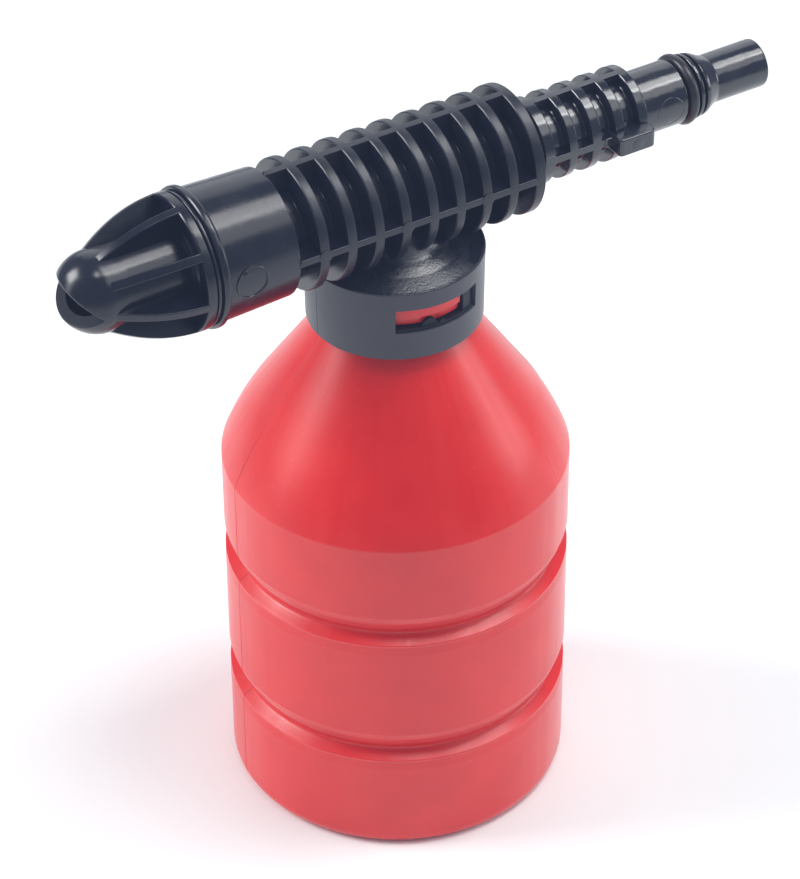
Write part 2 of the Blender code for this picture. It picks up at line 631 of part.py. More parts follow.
def main():
    clear_scene()
    black = material("glass_filled_black", BLACK, 0.38)
    red = material("red_polyethylene", RED, 0.42)
    rubber = material("black_rubber", (0.02, 0.02, 0.022), 0.55)
    brass = material("brass", (0.72, 0.52, 0.22), 0.3, 1.0)
    steel = material("stainless_steel", (0.6, 0.6, 0.6), 0.35, 1.0)
    acetal = material("natural_acetal", (0.82, 0.82, 0.78), 0.4)
    tube = material("milky_tube", (0.78, 0.8, 0.78), 0.35)

    make_bottle(red)
    make_housing(black)
    make_connector(black)
    make_cap(black)
    make_clip_ring(black)
    lance_ring("inlet_o_ring", INLET_O_RING, 24, rubber)
    lance_ring("stem_o_ring", STEM_O_RING, 20, rubber)
    lance_ring("nozzle_o_ring", NOZZLE_O_RING, 24, rubber)
    turned("collar_gasket", GASKET, 24, rubber)
    make_orifice(brass)
    make_mixing_tube(acetal)
    turned_on_lance("foam_mesh", MESH_ROLL, 20, steel)
    make_retainer(acetal)
    make_nipple(acetal)
    neck_ring("nipple_o_ring", NIPPLE_O_RING, 20, rubber)
    make_ball(steel)
    make_spring(steel)
    turned("dip_tube", [(TUBE_BORE_R, TUBE_Z[0]), (TUBE_R, TUBE_Z[0]), (TUBE_R, TUBE_Z[1]),
                        (TUBE_BORE_R, TUBE_Z[1])], 16, tube)
    make_strainer(black)
    make_vent_valve(rubber)


main()
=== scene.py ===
"""Looks for the foam sprayer bottle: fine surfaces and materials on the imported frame.

Shapes are built in millimetres and turned into metres when their mesh is made. The frame gives where the
bottle, the collar and the lance are, and the sizes below add the detail that the frame leaves out. An
outline point is (radius, height) round the bottle's axis, or (x, radius) round the lance's axis, and an
optional third number rounds that corner.
"""

import math

import bmesh
import bpy
from mathutils import Matrix, Vector


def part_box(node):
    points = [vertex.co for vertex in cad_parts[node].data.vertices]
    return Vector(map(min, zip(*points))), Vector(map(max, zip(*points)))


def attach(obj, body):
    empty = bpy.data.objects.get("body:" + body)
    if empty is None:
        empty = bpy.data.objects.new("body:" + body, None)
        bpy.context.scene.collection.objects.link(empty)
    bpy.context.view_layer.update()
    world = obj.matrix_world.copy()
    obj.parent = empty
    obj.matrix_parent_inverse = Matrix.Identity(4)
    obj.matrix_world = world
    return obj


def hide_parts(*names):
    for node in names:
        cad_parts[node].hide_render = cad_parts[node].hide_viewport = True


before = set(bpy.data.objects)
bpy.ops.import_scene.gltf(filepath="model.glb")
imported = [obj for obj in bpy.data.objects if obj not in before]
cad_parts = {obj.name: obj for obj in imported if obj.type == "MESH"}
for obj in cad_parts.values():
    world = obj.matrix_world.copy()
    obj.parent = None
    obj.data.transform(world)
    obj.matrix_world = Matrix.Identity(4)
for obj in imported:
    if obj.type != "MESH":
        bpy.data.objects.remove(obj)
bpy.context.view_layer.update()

MM = 0.001

# How finely round shapes are divided, and where shading turns sharp, in degrees
EDGE_STEPS = 3
BEAD_SIDES = 8
RING_SIDES = 20
MOUND_STEPS = 14
SHARP_ANGLE = 32.0
BEVEL_ANGLE = 50.0


def box_mm(node):
    low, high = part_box(node)
    return low / MM, high / MM


bottle_high = box_mm("bottle")[1]
housing_low, housing_high = box_mm("lance_housing")
inlet_low, inlet_high = box_mm("inlet_connector")
cap_low = box_mm("nozzle_cap")[0]

# Bottle
BOTTLE_R = bottle_high.y
NECK_TOP_Z = bottle_high.z
WALL = 1.5
NECK_R = 19.0
NECK_BORE_R = 17.0
CONE = ((19.3, 141.5), (36.0, 117.3))
SHOULDER_Z = 100.5
SHOULDER_CORNER = math.radians(21.0)
HEEL_R = 4.0
FOOT_RECESS = 0.9
GROOVE_TOPS = (78.7, 39.2)
GROOVE_H = 9.2
GROOVE_DEPTH = 3.1
SEAM_ANGLES = (-7.0, 173.0)
SEAM_LOW_Z = 1.2
SEAM_R = 0.16
SEAM_SINK = 0.09
LUG_ANGLES = (50.0, 108.5)
LUG_Z = (152.3, 158.2)
LUG_STEP_Z = (154.1, 154.5)
LUG_R = (20.3, 21.0)

# Collar
COLLAR_R = housing_high.y
COLLAR_LOW_Z = housing_low.z
COLLAR_TOP_Z = 162.6
COLLAR_BORE_R = 21.3
CEILING_Z = 161.2
WINDOW_HALF_ANGLE = 31.0
WINDOW_Z = (151.2, 158.0)
SKIRT_EDGE_Z = 161.4
PARTING_HALF_ANGLE = 0.35
PARTING_DENT = 0.16
BOSS_R = 7.4
BOSS_BORE_R = 5.0
BOSS_LOW_Z = 152.3

# Bayonet, with angles in degrees from +X
LEDGE_R = (19.5, 21.9)
LEDGE_Z = (149.7, 152.0)
LEDGE_ANGLES = (36.5, 154.0)
BUMPS = ((151.6, 154.0, (20.6, 21.5), (76.5, 88.0)), (151.4, 152.7, (20.9, 21.8), (88.4, 94.6)))
STOP_R = (19.5, 21.6)
STOP_Z = (151.6, 161.3)
STOP_ANGLES = (109.6, 123.0)

# Lance
LANCE_Z = (inlet_low.z + inlet_high.z) / 2
BARREL_REAR_X = housing_low.x
SLEEVE_FRONT_X = housing_high.x
FLANGE_R = housing_high.z - LANCE_Z
FIN_R = 16.85
CORE_R = 10.5
FIN_THICK = 2.7
FIN_PITCH = 7.67
FIRST_FIN_X = 29.2
FIN_COUNT = 9
RIB_THICK = 1.9
FIN_RIM_DEPTH = 0.35
SLEEVE_REAR_X = 35.8
SLEEVE_REAR_R = 16.35
SLEEVE_FLARE = 0.65
SLEEVE_FLARE_LENGTH = 18.1
SLEEVE_BORE_R = 14.25
MARK_X = 49.3
MARK_R = 4.2
MARK_BEAD_R = 0.34
MARK_SINK = 0.1
DISC_R = 1.8
DISC_FINS = (0, 3, 6)
CLIP_X = (57.75, 58.5)
CLIP_R = (16.65, 17.2)
CLIP_START = -60.0
CLIP_SWEEP = 345.0
CLIP_STEPS = 96

# Inlet
INLET_END_X = inlet_low.x
EAR_REACH = inlet_high.y
PLAIN_R = 8.5
SMALL_FIN_R = 11.4
SMALL_FINS = ((-40.2, -37.1), (-46.9, -44.5), (-54.1, -51.3), (-61.0, -58.3), (-68.1, -65.4))
RING_X = -84.45
EAR_X = (-67.9, -56.9)
EAR_THICK = 4.9
EAR_SHIFT = 0.55
EAR_MARK = (-62.4, -0.8)
INLET_MARK_X = -77.0
INLET_MARK_R = 3.9
INLET_MARK_BEAD_R = 0.12

# Fan nozzle
CAP_REAR_X = cap_low.x
CAP_RIM_R = 17.4
CAP_FACE_X = 61.4
CAP_FLOOR_X = 60.2
CAP_TUBE_R = 9.8
CAP_BORE_R = 7.5
DOME_X = 82.1
DOME_R = 10.3
CAP_TURN = math.radians(-10.0)
SLOT_APEX_X = 85.3
SLOT_SLOPE = math.tan(math.radians(39.0))
SLOT_LIP = 0.55
SLOT_LOOK_X = 83.8
CAP_RIB_THICK = 2.2

# Rings: piece, body, node, middle as (radius, x), and radius of the section
O_RINGS = (
    ("inlet_seal", "lance", "inlet_o_ring", (7.9, RING_X), 1.45),
    ("stem_seal", "lance", "stem_o_ring", (7.3, -20.0), 0.85),
    ("nozzle_seal", "nozzle", "nozzle_o_ring", (13.35, 55.1), 0.6),
)

# Colours as a darker and a lighter tone, roughness as a range, depth in millimetres
NEAR_BLACK = (0.004, 0.006, 0.012), (0.008, 0.010, 0.018)
MOULDED = (0.17, 0.26)
PLAIN_DEPTH = 0.01

# Along X, with the turned height as X and the turned radius in the YZ plane.
LANCE = Matrix(((0, 0, 1, 0), (1, 0, 0, 0), (0, 1, 0, LANCE_Z), (0, 0, 0, 1)))


# ---------------------------------------------------------------- shapes


class Solid:
    """Points and faces of several closed shapes, gathered before they become one piece."""

    def __init__(self):
        self.points = []
        self.faces = []

    def add(self, shape, placed=None):
        points, faces = shape
        first = len(self.points)
        self.points += [placed @ Vector(point) if placed else Vector(point) for point in points]
        self.faces += [[first + index for index in face] for face in faces]


def rounded(corners, pieces=4):
    """A closed outline with a curve at each corner that gives a radius."""
    outline = []
    count = len(corners)
    for index, corner in enumerate(corners):
        here = Vector(corner[:2])
        before = Vector(corners[index - 1][:2]) - here
        after = Vector(corners[(index + 1) % count][:2]) - here
        if len(corner) < 3 or before.length < 1e-6 or after.length < 1e-6:
            outline.append(tuple(here))
            continue
        half = before.angle(after) / 2
        reach = min(corner[2] / math.tan(half), before.length * 0.48, after.length * 0.48)
        start = here + before.normalized() * reach
        end = here + after.normalized() * reach
        for step in range(pieces + 1):
            t = step / pieces
            outline.append(tuple(start * (1 - t) ** 2 + here * 2 * t * (1 - t) + end * t ** 2))
    return outline


def turned(outline, steps=128):
    """A closed outline of (radius, height) points, spun round Z."""
    angles = [math.tau * step / steps for step in range(steps)]
    points, rings = [], []
    for radius, height in outline:
        first = len(points)
        if radius < 1e-6:
            points.append((0.0, 0.0, height))
            rings.append([first] * steps)
            continue
        for angle in angles:
            points.append((radius * math.cos(angle), radius * math.sin(angle), height))
        rings.append(list(range(first, first + steps)))
    faces = []
    for ring, other in zip(rings, rings[1:] + rings[:1]):
        for here in range(steps):
            after = (here + 1) % steps
            face = list(dict.fromkeys((ring[here], ring[after], other[after], other[here])))
            if len(face) > 2:
                faces.append(face)
    return points, faces


def lofted(sections, closed=True):
    """Closed sections of equal length, joined one to the next. The last joins the first if closed."""
    count = len(sections[0])
    points = [point for section in sections for point in section]
    faces = []
    for number in range(len(sections) if closed else len(sections) - 1):
        here, after = number * count, (number + 1) % len(sections) * count
        for index in range(count):
            other = (index + 1) % count
            faces.append([here + index, here + other, after + other, after + index])
    if not closed:
        faces.append(list(range(count)))
        faces.append(list(range(len(points) - count, len(points))))
    return points, faces


def sector(outline, angles, step=3.0):
    """A closed (radius, height) outline swept round Z between two angles in degrees."""
    pieces = max(2, round((angles[1] - angles[0]) / step))
    sections = []
    for number in range(pieces + 1):
        angle = math.radians(angles[0] + (angles[1] - angles[0]) * number / pieces)
        sections.append([(r * math.cos(angle), r * math.sin(angle), z) for r, z in outline])
    return lofted(sections, closed=False)


def inset(outline, distance):
    """The outline moved inward."""
    count = len(outline)
    area = sum(a[0] * b[1] - b[0] * a[1] for a, b in zip(outline, outline[1:] + outline[:1]))
    side = math.copysign(1.0, area)
    moved = []
    for index, point in enumerate(outline):
        here = Vector(point)
        into = (here - Vector(outline[index - 1])).normalized()
        away = (Vector(outline[(index + 1) % count]) - here).normalized()
        normals = Vector((-into.y, into.x)) * side, Vector((-away.y, away.x)) * side
        share = max(0.4, 1.0 + normals[0].dot(normals[1]))
        moved.append(tuple(here + (normals[0] + normals[1]) * distance / share))
    return moved


def plate(outline, thickness, edge=0.25):
    """A closed (x, z) outline given thickness along Y, with its rims rounded."""
    sections = []
    for side in (-1, 1):
        order = range(EDGE_STEPS + 1) if side < 0 else range(EDGE_STEPS, -1, -1)
        for step in order:
            angle = math.pi / 2 * step / EDGE_STEPS
            y = side * (thickness / 2 - edge * (1 - math.cos(angle)))
            rim = inset(outline, edge * (1 - math.sin(angle)))
            sections.append([(x, y, z) for x, z in rim])
    return lofted(sections, closed=False)


def block(low, high, edge=0.25):
    """A box with rounded edges, thin along Y."""
    corners = ((low[0], low[2]), (high[0], low[2]), (high[0], high[2]), (low[0], high[2]))
    outline = rounded([(*corner, 2 * edge) for corner in corners])
    shape = plate(outline, high[1] - low[1], edge)
    middle = (low[1] + high[1]) / 2
    return [(x, y + middle, z) for x, y, z in shape[0]], shape[1]


def bead(path, outward, radius, closed=False):
    """A round bead along a path, with the direction away from the surface at each point."""
    count = len(path)
    sections = []
    for index, point in enumerate(path):
        before = path[index - 1] if closed or index else point
        after = path[(index + 1) % count] if closed or index < count - 1 else point
        along = (Vector(after) - Vector(before)).normalized()
        across = along.cross(Vector(outward[index])).normalized()
        up = across.cross(along)
        turns = [math.tau * side / BEAD_SIDES for side in range(BEAD_SIDES)]
        sections.append([Vector(point) + (across * math.cos(a) + up * math.sin(a)) * radius
                         for a in turns])
    return lofted(sections, closed)


def ring(middle, section):
    """A round section for an O-ring: its middle is (radius, height)."""
    turns = [math.tau * index / RING_SIDES for index in range(RING_SIDES)]
    return [(middle[0] + section * math.cos(a), middle[1] + section * math.sin(a)) for a in turns]


def about_lance(outline):
    """(x, radius) corners as the (radius, height) corners that turned() takes."""
    return [(corner[1], corner[0], *corner[2:]) for corner in outline]


def around_x(angle):
    return Matrix.Translation((0, 0, LANCE_Z)) @ Matrix.Rotation(angle, 4, "X")


def make_piece(name, solid, body, look, stands_for=(), bevel=0.0):
    mesh = bpy.data.meshes.new(name)
    mesh.from_pydata([point * MM for point in solid.points], [], solid.faces)
    shape = bmesh.new()
    shape.from_mesh(mesh)
    bmesh.ops.recalc_face_normals(shape, faces=shape.faces)
    shape.to_mesh(mesh)
    shape.free()
    mesh.materials.append(look)
    mesh.shade_smooth()
    mesh.set_sharp_from_angle(angle=math.radians(SHARP_ANGLE))
    piece = bpy.data.objects.new(name, mesh)
    bpy.context.scene.collection.objects.link(piece)
    if bevel:
        edges = piece.modifiers.new("soft edges", "BEVEL")
        edges.width = bevel * MM
        edges.segments = 3
        edges.limit_method = "ANGLE"
        edges.angle_limit = math.radians(BEVEL_ANGLE)
        edges.harden_normals = False
    normals = piece.modifiers.new("face weighted normals", "WEIGHTED_NORMAL")
    normals.keep_sharp = True
    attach(piece, body)
    if stands_for:
        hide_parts(*stands_for)
    return piece


# ---------------------------------------------------------------- materials


class Look:
    """A procedural material with a Principled shader, and short ways to add nodes to it."""

    def __init__(self, name, roughness, metallic=0.0, ior=1.5):
        self.material = bpy.data.materials.new(name)
        self.material.use_nodes = True
        self.nodes = self.material.node_tree.nodes
        self.links = self.material.node_tree.links
        self.shader = self.nodes["Principled BSDF"]
        self.shader.inputs["Roughness"].default_value = roughness
        self.shader.inputs["Metallic"].default_value = metallic
        self.shader.inputs["IOR"].default_value = ior
        self.place = self.nodes.new("ShaderNodeTexCoord").outputs["Object"]

    def noise(self, size_mm, detail=3.0, vector=None):
        """Noise with features of about this size."""
        node = self.nodes.new("ShaderNodeTexNoise")
        node.inputs["Scale"].default_value = 1.0 / (size_mm * MM)
        node.inputs["Detail"].default_value = detail
        node.inputs["Roughness"].default_value = 0.5
        self.links.new(vector or self.place, node.inputs["Vector"])
        return node.outputs["Fac"]

    def ranged(self, value, low, high, start=0.3, end=0.7):
        """A value from start to end mapped to low to high."""
        node = self.nodes.new("ShaderNodeMapRange")
        node.inputs["From Min"].default_value = start
        node.inputs["From Max"].default_value = end
        node.inputs["To Min"].default_value = low
        node.inputs["To Max"].default_value = high
        self.links.new(value, node.inputs["Value"])
        return node.outputs["Result"]

    def maths(self, operation, *values):
        node = self.nodes.new("ShaderNodeMath")
        node.operation = operation
        for socket, value in zip(node.inputs, values):
            if isinstance(value, (int, float)):
                socket.default_value = value
            else:
                self.links.new(value, socket)
        return node.outputs[0]

    def blended(self, share, first, second):
        """A colour between two, each a tuple or a socket."""
        node = self.nodes.new("ShaderNodeMix")
        node.data_type = "RGBA"
        self.links.new(share, node.inputs["Factor"])
        for socket, value in zip((node.inputs[6], node.inputs[7]), (first, second)):
            if isinstance(value, tuple):
                socket.default_value = (*value, 1.0)
            else:
                self.links.new(value, socket)
        return node.outputs[2]

    def bump(self, height, depth_mm, before=None):
        node = self.nodes.new("ShaderNodeBump")
        node.inputs["Strength"].default_value = 1.0
        node.inputs["Distance"].default_value = depth_mm * MM
        self.links.new(height, node.inputs["Height"])
        if before:
            self.links.new(before, node.inputs["Normal"])
        return node.outputs["Normal"]

    def set(self, socket, value):
        self.links.new(value, self.shader.inputs[socket])


def in_slot(look):
    """1 on the nozzle's slot faces and in its hollow end, else 0."""
    split = look.nodes.new("ShaderNodeSeparateXYZ")
    look.links.new(look.place, split.inputs[0])
    reach = look.nodes.new("ShaderNodeVectorMath")
    reach.operation = "DISTANCE"
    look.links.new(look.place, reach.inputs[0])
    reach.inputs[1].default_value = (DOME_X * MM, 0.0, LANCE_Z * MM)
    inside = look.maths("LESS_THAN", reach.outputs["Value"], (DOME_R - 0.3) * MM)
    ahead = look.maths("GREATER_THAN", split.outputs["X"], SLOT_LOOK_X * MM)
    return look.maths("MULTIPLY", inside, ahead)


def on_rims(look):
    """1 on the rims of the barrel's fins, which are less glossy than the rest, else 0."""
    split = look.nodes.new("ShaderNodeSeparateXYZ")
    look.links.new(look.place, split.inputs[0])
    height = look.maths("SUBTRACT", split.outputs["Z"], LANCE_Z * MM)
    squares = [look.maths("MULTIPLY", side, side) for side in (split.outputs["Y"], height)]
    reach = look.maths("SQRT", look.maths("ADD", *squares))
    finned = look.maths("LESS_THAN", split.outputs["X"], SLEEVE_REAR_X * MM)
    outer = look.maths("GREATER_THAN", reach, (FIN_R - FIN_RIM_DEPTH) * MM)
    return look.maths("MULTIPLY", finned, outer)


def black_plastic(name, dark, light, rough, grain_mm=0.25, grain_depth=0.012, wave_depth=0.03, ior=1.5,
                  matte=None, matte_rough=0.8):
    """Glass-filled plastic: near black with a blue cast, a fine grain and a slightly uneven gloss."""
    look = Look(name, roughness=sum(rough) / 2, ior=ior)
    patches = look.noise(6.0, detail=4.0)
    grain = look.noise(grain_mm, detail=2.0)
    look.set("Base Color", look.blended(look.ranged(patches, 0.0, 1.0), dark, light))
    gloss = look.maths("ADD", look.ranged(patches, rough[0], rough[1]), look.ranged(grain, -0.04, 0.04))
    if matte:
        gloss = look.maths("MAXIMUM", gloss, look.maths("MULTIPLY", matte(look), matte_rough))
    look.set("Roughness", gloss)
    waves = look.bump(look.noise(3.5, detail=1.0), wave_depth)
    look.set("Normal", look.bump(grain, grain_depth, before=waves))
    return look.material


def red_polyethylene():
    """Blown polyethylene: satin, with faint drag lines down the wall, dust specks and an uneven gloss."""
    look = Look("red_polyethylene", roughness=0.4, ior=1.58)
    split = look.nodes.new("ShaderNodeSeparateXYZ")
    look.links.new(look.place, split.inputs[0])
    angle = look.maths("ARCTAN2", split.outputs["Y"], split.outputs["X"])
    around = look.maths("MULTIPLY", angle, BOTTLE_R * MM)
    joined = look.nodes.new("ShaderNodeCombineXYZ")
    look.links.new(around, joined.inputs["X"])
    look.links.new(look.maths("MULTIPLY", split.outputs["Z"], 0.03), joined.inputs["Y"])
    lines = look.noise(0.9, detail=3.0, vector=joined.outputs[0])
    streaks = look.noise(5.0, detail=3.0, vector=joined.outputs[0])
    clouds = look.noise(14.0, detail=4.0)
    tint = look.blended(look.ranged(clouds, 0.0, 1.0), (0.71, 0.005, 0.001), (0.78, 0.010, 0.004))
    specks = look.noise(0.55, detail=1.0)
    dusty = look.ranged(specks, 0.0, 0.6, start=0.77, end=0.84)
    look.set("Base Color", look.blended(dusty, tint, (0.80, 0.30, 0.30)))
    gloss = look.maths("ADD", look.ranged(streaks, 0.29, 0.40), look.ranged(lines, -0.03, 0.03))
    look.set("Roughness", gloss)
    waves = look.bump(look.noise(22.0, detail=1.0), 0.25)
    drawn = look.bump(lines, 0.005, before=waves)
    look.set("Normal", look.bump(look.noise(0.35, detail=2.0), 0.006, before=drawn))
    look.shader.inputs["Sheen Weight"].default_value = 0.28
    look.shader.inputs["Sheen Roughness"].default_value = 0.35
    look.shader.inputs["Subsurface Weight"].default_value = 0.12
    look.shader.inputs["Subsurface Radius"].default_value = (1.0, 0.25, 0.2)
    look.shader.inputs["Subsurface Scale"].default_value = 2.0 * MM
    return look.material


def plain_look(name, first, second, rough, size_mm, metallic=0.0):
    """An even material whose colour and gloss vary a little."""
    look = Look(name, roughness=sum(rough) / 2, metallic=metallic)
    patches = look.noise(size_mm, detail=3.0)
    look.set("Base Color", look.blended(look.ranged(patches, 0.0, 1.0), first, second))
    look.set("Roughness", look.ranged(patches, *rough))
    look.set("Normal", look.bump(look.noise(size_mm / 6, detail=2.0), PLAIN_DEPTH))
    return look.material


def wire_look():
    """Knitted stainless wire, as a fine weave on the roll's surface, with painted shade in the openings
    between the wires.
    """
    look = Look("knitted_wire", roughness=0.35, metallic=1.0)
    weave = look.nodes.new("ShaderNodeTexVoronoi")
    weave.feature = "DISTANCE_TO_EDGE"
    weave.inputs["Scale"].default_value = 1.0 / (0.9 * MM)
    look.links.new(look.place, weave.inputs["Vector"])
    holes = look.ranged(weave.outputs["Distance"], 0.0, 1.0, start=0.04, end=0.22)
    # The openings between the wires are painted near black: painted shade, not a dark metal.
    look.set("Base Color", look.blended(holes, (0.62, 0.62, 0.60), (0.05, 0.05, 0.05)))
    look.set("Normal", look.bump(holes, 0.3))
    return look.material


BODY = black_plastic("body_plastic", *NEAR_BLACK, MOULDED, matte=on_rims, matte_rough=0.35)
CLIP = black_plastic("clip_plastic", *NEAR_BLACK, MOULDED)
NOZZLE = black_plastic("nozzle_plastic", *NEAR_BLACK, MOULDED, matte=in_slot)
# The body's black plastic with a low IOR and rougher gloss, so it reflects less: painted shade for the parts
# seen deep in the windows.
SHADED_BAYONET = black_plastic("bayonet_plastic_shaded", *NEAR_BLACK, (0.40, 0.50), ior=1.3)
SKIRT = black_plastic("skirt_plastic", (0.040, 0.042, 0.054), (0.048, 0.050, 0.064), (0.44, 0.52),
                      grain_mm=0.2)
for sheen_socket in ("Sheen Weight", "Sheen Roughness"):
    SKIRT.node_tree.nodes["Principled BSDF"].inputs[sheen_socket].default_value = 0.3
GLOSSY = black_plastic("inlet_plastic", (0.004, 0.006, 0.012), (0.009, 0.012, 0.020), (0.10, 0.20),
                       grain_depth=0.016, wave_depth=0.10, ior=1.7)
TURRET = black_plastic("turret_plastic", (0.008, 0.011, 0.019), (0.015, 0.018, 0.028), (0.22, 0.34),
                       grain_mm=0.55, grain_depth=0.05, wave_depth=0.06, ior=1.8)
RED = red_polyethylene()
RUBBER = plain_look("seal_rubber", (0.010, 0.010, 0.012), (0.018, 0.018, 0.020), (0.28, 0.42), 2.0)
BRASS = plain_look("turned_brass", (0.68, 0.47, 0.18), (0.76, 0.56, 0.26), (0.22, 0.34), 1.5, metallic=1.0)
STEEL = plain_look("stainless", (0.50, 0.50, 0.50), (0.62, 0.62, 0.61), (0.22, 0.34), 1.0, metallic=1.0)
ACETAL = plain_look("natural_acetal", (0.74, 0.74, 0.69), (0.80, 0.80, 0.76), (0.34, 0.46), 3.0)
MILKY = plain_look("milky_tube", (0.66, 0.69, 0.67), (0.74, 0.77, 0.75), (0.28, 0.4), 4.0)
WIRE = wire_look()


# ---------------------------------------------------------------- bottle


def shoulder_arc(count, shift=0.0):
    """(radius, height) points on the arc between the cone and the wall."""
    cone_r, cone_z = CONE[1]
    chord = math.hypot(BOTTLE_R - cone_r, cone_z - SHOULDER_Z)
    lean = math.atan2(BOTTLE_R - cone_r, cone_z - SHOULDER_Z)
    half = lean - SHOULDER_CORNER
    radius = chord / (2 * math.sin(half))
    centre_r = BOTTLE_R - radius * math.cos(lean - half)
    centre_z = SHOULDER_Z - radius * math.sin(lean - half)
    angles = [lean + half - 2 * half * index / (count - 1) for index in range(count)]
    return [(centre_r - shift + radius * math.cos(a), centre_z + radius * math.sin(a)) for a in angles]


def groove(top, inward=0.0):
    """A belt groove: a long upper slope, then a round floor that ends in a ledge under it."""
    wall = BOTTLE_R - inward
    low = top - GROOVE_H
    return [(wall, top, 0.4), (wall - 0.26 * GROOVE_DEPTH, top - 0.26 * GROOVE_H, 4.0),
            (wall - 0.90 * GROOVE_DEPTH, top - 0.60 * GROOVE_H, 3.0),
            (wall - GROOVE_DEPTH, top - 0.78 * GROOVE_H, 3.0), (wall - 1.3, low + 0.95, 1.2),
            (wall, low + 0.2, 0.3), (wall - 0.2, low - 0.5, 0.5), (wall, low - 3.0, 3.0)]


def bottle_outside():
    """Corners from the neck's top down to the middle of the base."""
    arc = shoulder_arc(28)
    corners = [(NECK_R, NECK_TOP_Z, 0.5), (NECK_R, CONE[0][1] + 0.45, 2.0), *arc[:-1], (*arc[-1], 5.0)]
    for top in GROOVE_TOPS:
        corners += groove(top)
    return corners + [(BOTTLE_R, 0.0, HEEL_R), (36.3, 0.0, 0.9), (35.0, FOOT_RECESS, 0.5),
                      (0.0, FOOT_RECESS)]


def bottle_inside():
    """Corners from the middle of the floor up to the neck's mouth."""
    floor = FOOT_RECESS + WALL
    corners = [(0.0, floor), (BOTTLE_R - WALL, floor, 3.0)]
    for top in reversed(GROOVE_TOPS):
        corners += reversed(groove(top, WALL))
    arc = shoulder_arc(12, WALL)
    return corners + [*reversed(arc), (NECK_BORE_R, CONE[0][1] - 0.8, 2.0),
                      (NECK_BORE_R, NECK_TOP_Z, 0.4)]


def make_bottle():
    solid = Solid()
    solid.add(turned(rounded(bottle_outside() + bottle_inside(), 6), 180))
    outside = [point for point in rounded(bottle_outside(), 6) if SEAM_LOW_Z < point[1] < CONE[0][1]]
    for degrees in SEAM_ANGLES:
        angle = math.radians(degrees)
        way = Vector((math.cos(angle), math.sin(angle), 0.0))
        path = [way * (radius - SEAM_SINK) + Vector((0, 0, height)) for radius, height in outside]
        solid.add(bead(path, [way] * len(path), SEAM_R))
    for turn in (0.0, 180.0):
        ends = (LUG_ANGLES[0] + turn, LUG_ANGLES[1] + turn)
        lug = [(NECK_R - 0.8, LUG_Z[0]), (LUG_R[0], LUG_Z[0], 0.4), (LUG_R[0], LUG_STEP_Z[0], 0.2),
               (LUG_R[1], LUG_STEP_Z[1], 0.3), (LUG_R[1], LUG_Z[1], 0.4), (NECK_R - 0.8, LUG_Z[1])]
        solid.add(sector(rounded(lug, 3), ends))
    return make_piece("bottle_shell", solid, "bottle", RED, ["bottle"])


# ---------------------------------------------------------------- collar


def skirt_angles():
    """Every third degree, the windows' ends, and the two narrow parting lines."""
    regular = [float(angle) for angle in range(0, 360, 3)]
    ends = [(side + end * WINDOW_HALF_ANGLE) % 360 for side in (90.0, 270.0) for end in (-1, 1)]
    clear = [a for a in regular if all(abs(a - end) > 1.0 for end in ends)]
    lines = [parting + off for parting in (0.0, 180.0)
             for off in (-PARTING_HALF_ANGLE, PARTING_HALF_ANGLE)]
    return sorted(clear + ends + [line % 360 for line in lines])


def make_skirt():
    """The collar's wall with its two windows, as one closed shell."""
    rows = [(COLLAR_LOW_Z, COLLAR_R - 0.3, COLLAR_BORE_R),
            (WINDOW_Z[0], COLLAR_R - 0.2, COLLAR_BORE_R),
            (WINDOW_Z[1], COLLAR_R - 0.1, COLLAR_BORE_R), (SKIRT_EDGE_Z, COLLAR_R, COLLAR_BORE_R),
            (COLLAR_TOP_Z, COLLAR_R, COLLAR_R - 0.55)]
    angles = skirt_angles()
    count = len(angles)
    points = []
    for wall in (1, 2):
        for row in rows:
            for degrees in angles:
                angle = math.radians(degrees)
                dent = PARTING_DENT if wall == 1 and degrees in (0.0, 180.0) else 0.0
                radius = row[wall] - dent
                points.append((radius * math.cos(angle), radius * math.sin(angle), row[0]))

    def at(wall, row, number):
        return (wall * len(rows) + row) * count + number % count

    def is_window(row, number):
        middle = (angles[number % count] + angles[(number + 1) % count]) / 2
        return row == 1 and any(abs(middle - side) < WINDOW_HALF_ANGLE for side in (90.0, 270.0))

    faces = []
    for number in range(count):
        after = number + 1
        for row in range(len(rows) - 1):
            if is_window(row, number):
                top = row + 1
                faces.append([at(0, row, number), at(1, row, number),
                              at(1, row, after), at(0, row, after)])
                faces.append([at(0, top, number), at(0, top, after),
                              at(1, top, after), at(1, top, number)])
                continue
            for wall in (0, 1):
                faces.append([at(wall, row, number), at(wall, row, after),
                              at(wall, row + 1, after), at(wall, row + 1, number)])
            for side, near in ((number, number - 1), (after, after)):
                if is_window(row, near % count):
                    faces.append([at(0, row, side), at(1, row, side),
                                  at(1, row + 1, side), at(0, row + 1, side)])
        for row in (0, len(rows) - 1):
            faces.append([at(0, row, number), at(0, row, after),
                          at(1, row, after), at(1, row, number)])
    solid = Solid()
    solid.add((points, faces))
    return make_piece("collar_skirt", solid, "lance", SKIRT, bevel=0.2)


def make_turret():
    """The collar's roof and the boss below it, with the valve bore up its middle."""
    solid = Solid()
    roof = [(COLLAR_R - 0.45, CEILING_Z), (COLLAR_R - 0.45, COLLAR_TOP_Z - 0.5, 0.15),
            (21.2, COLLAR_TOP_Z - 0.15, 0.8), (17.2, 164.0, 5.0), (13.0, 166.2, 5.0), (9.5, 170.5),
            (1.7, 170.5), (1.7, 167.2), (BOSS_BORE_R, 167.2), (BOSS_BORE_R, BOSS_LOW_Z),
            (BOSS_R, BOSS_LOW_Z, 0.4), (BOSS_R, CEILING_Z)]
    solid.add(turned(rounded(roof, 6), 128))
    return make_piece("collar_turret", solid, "lance", TURRET)


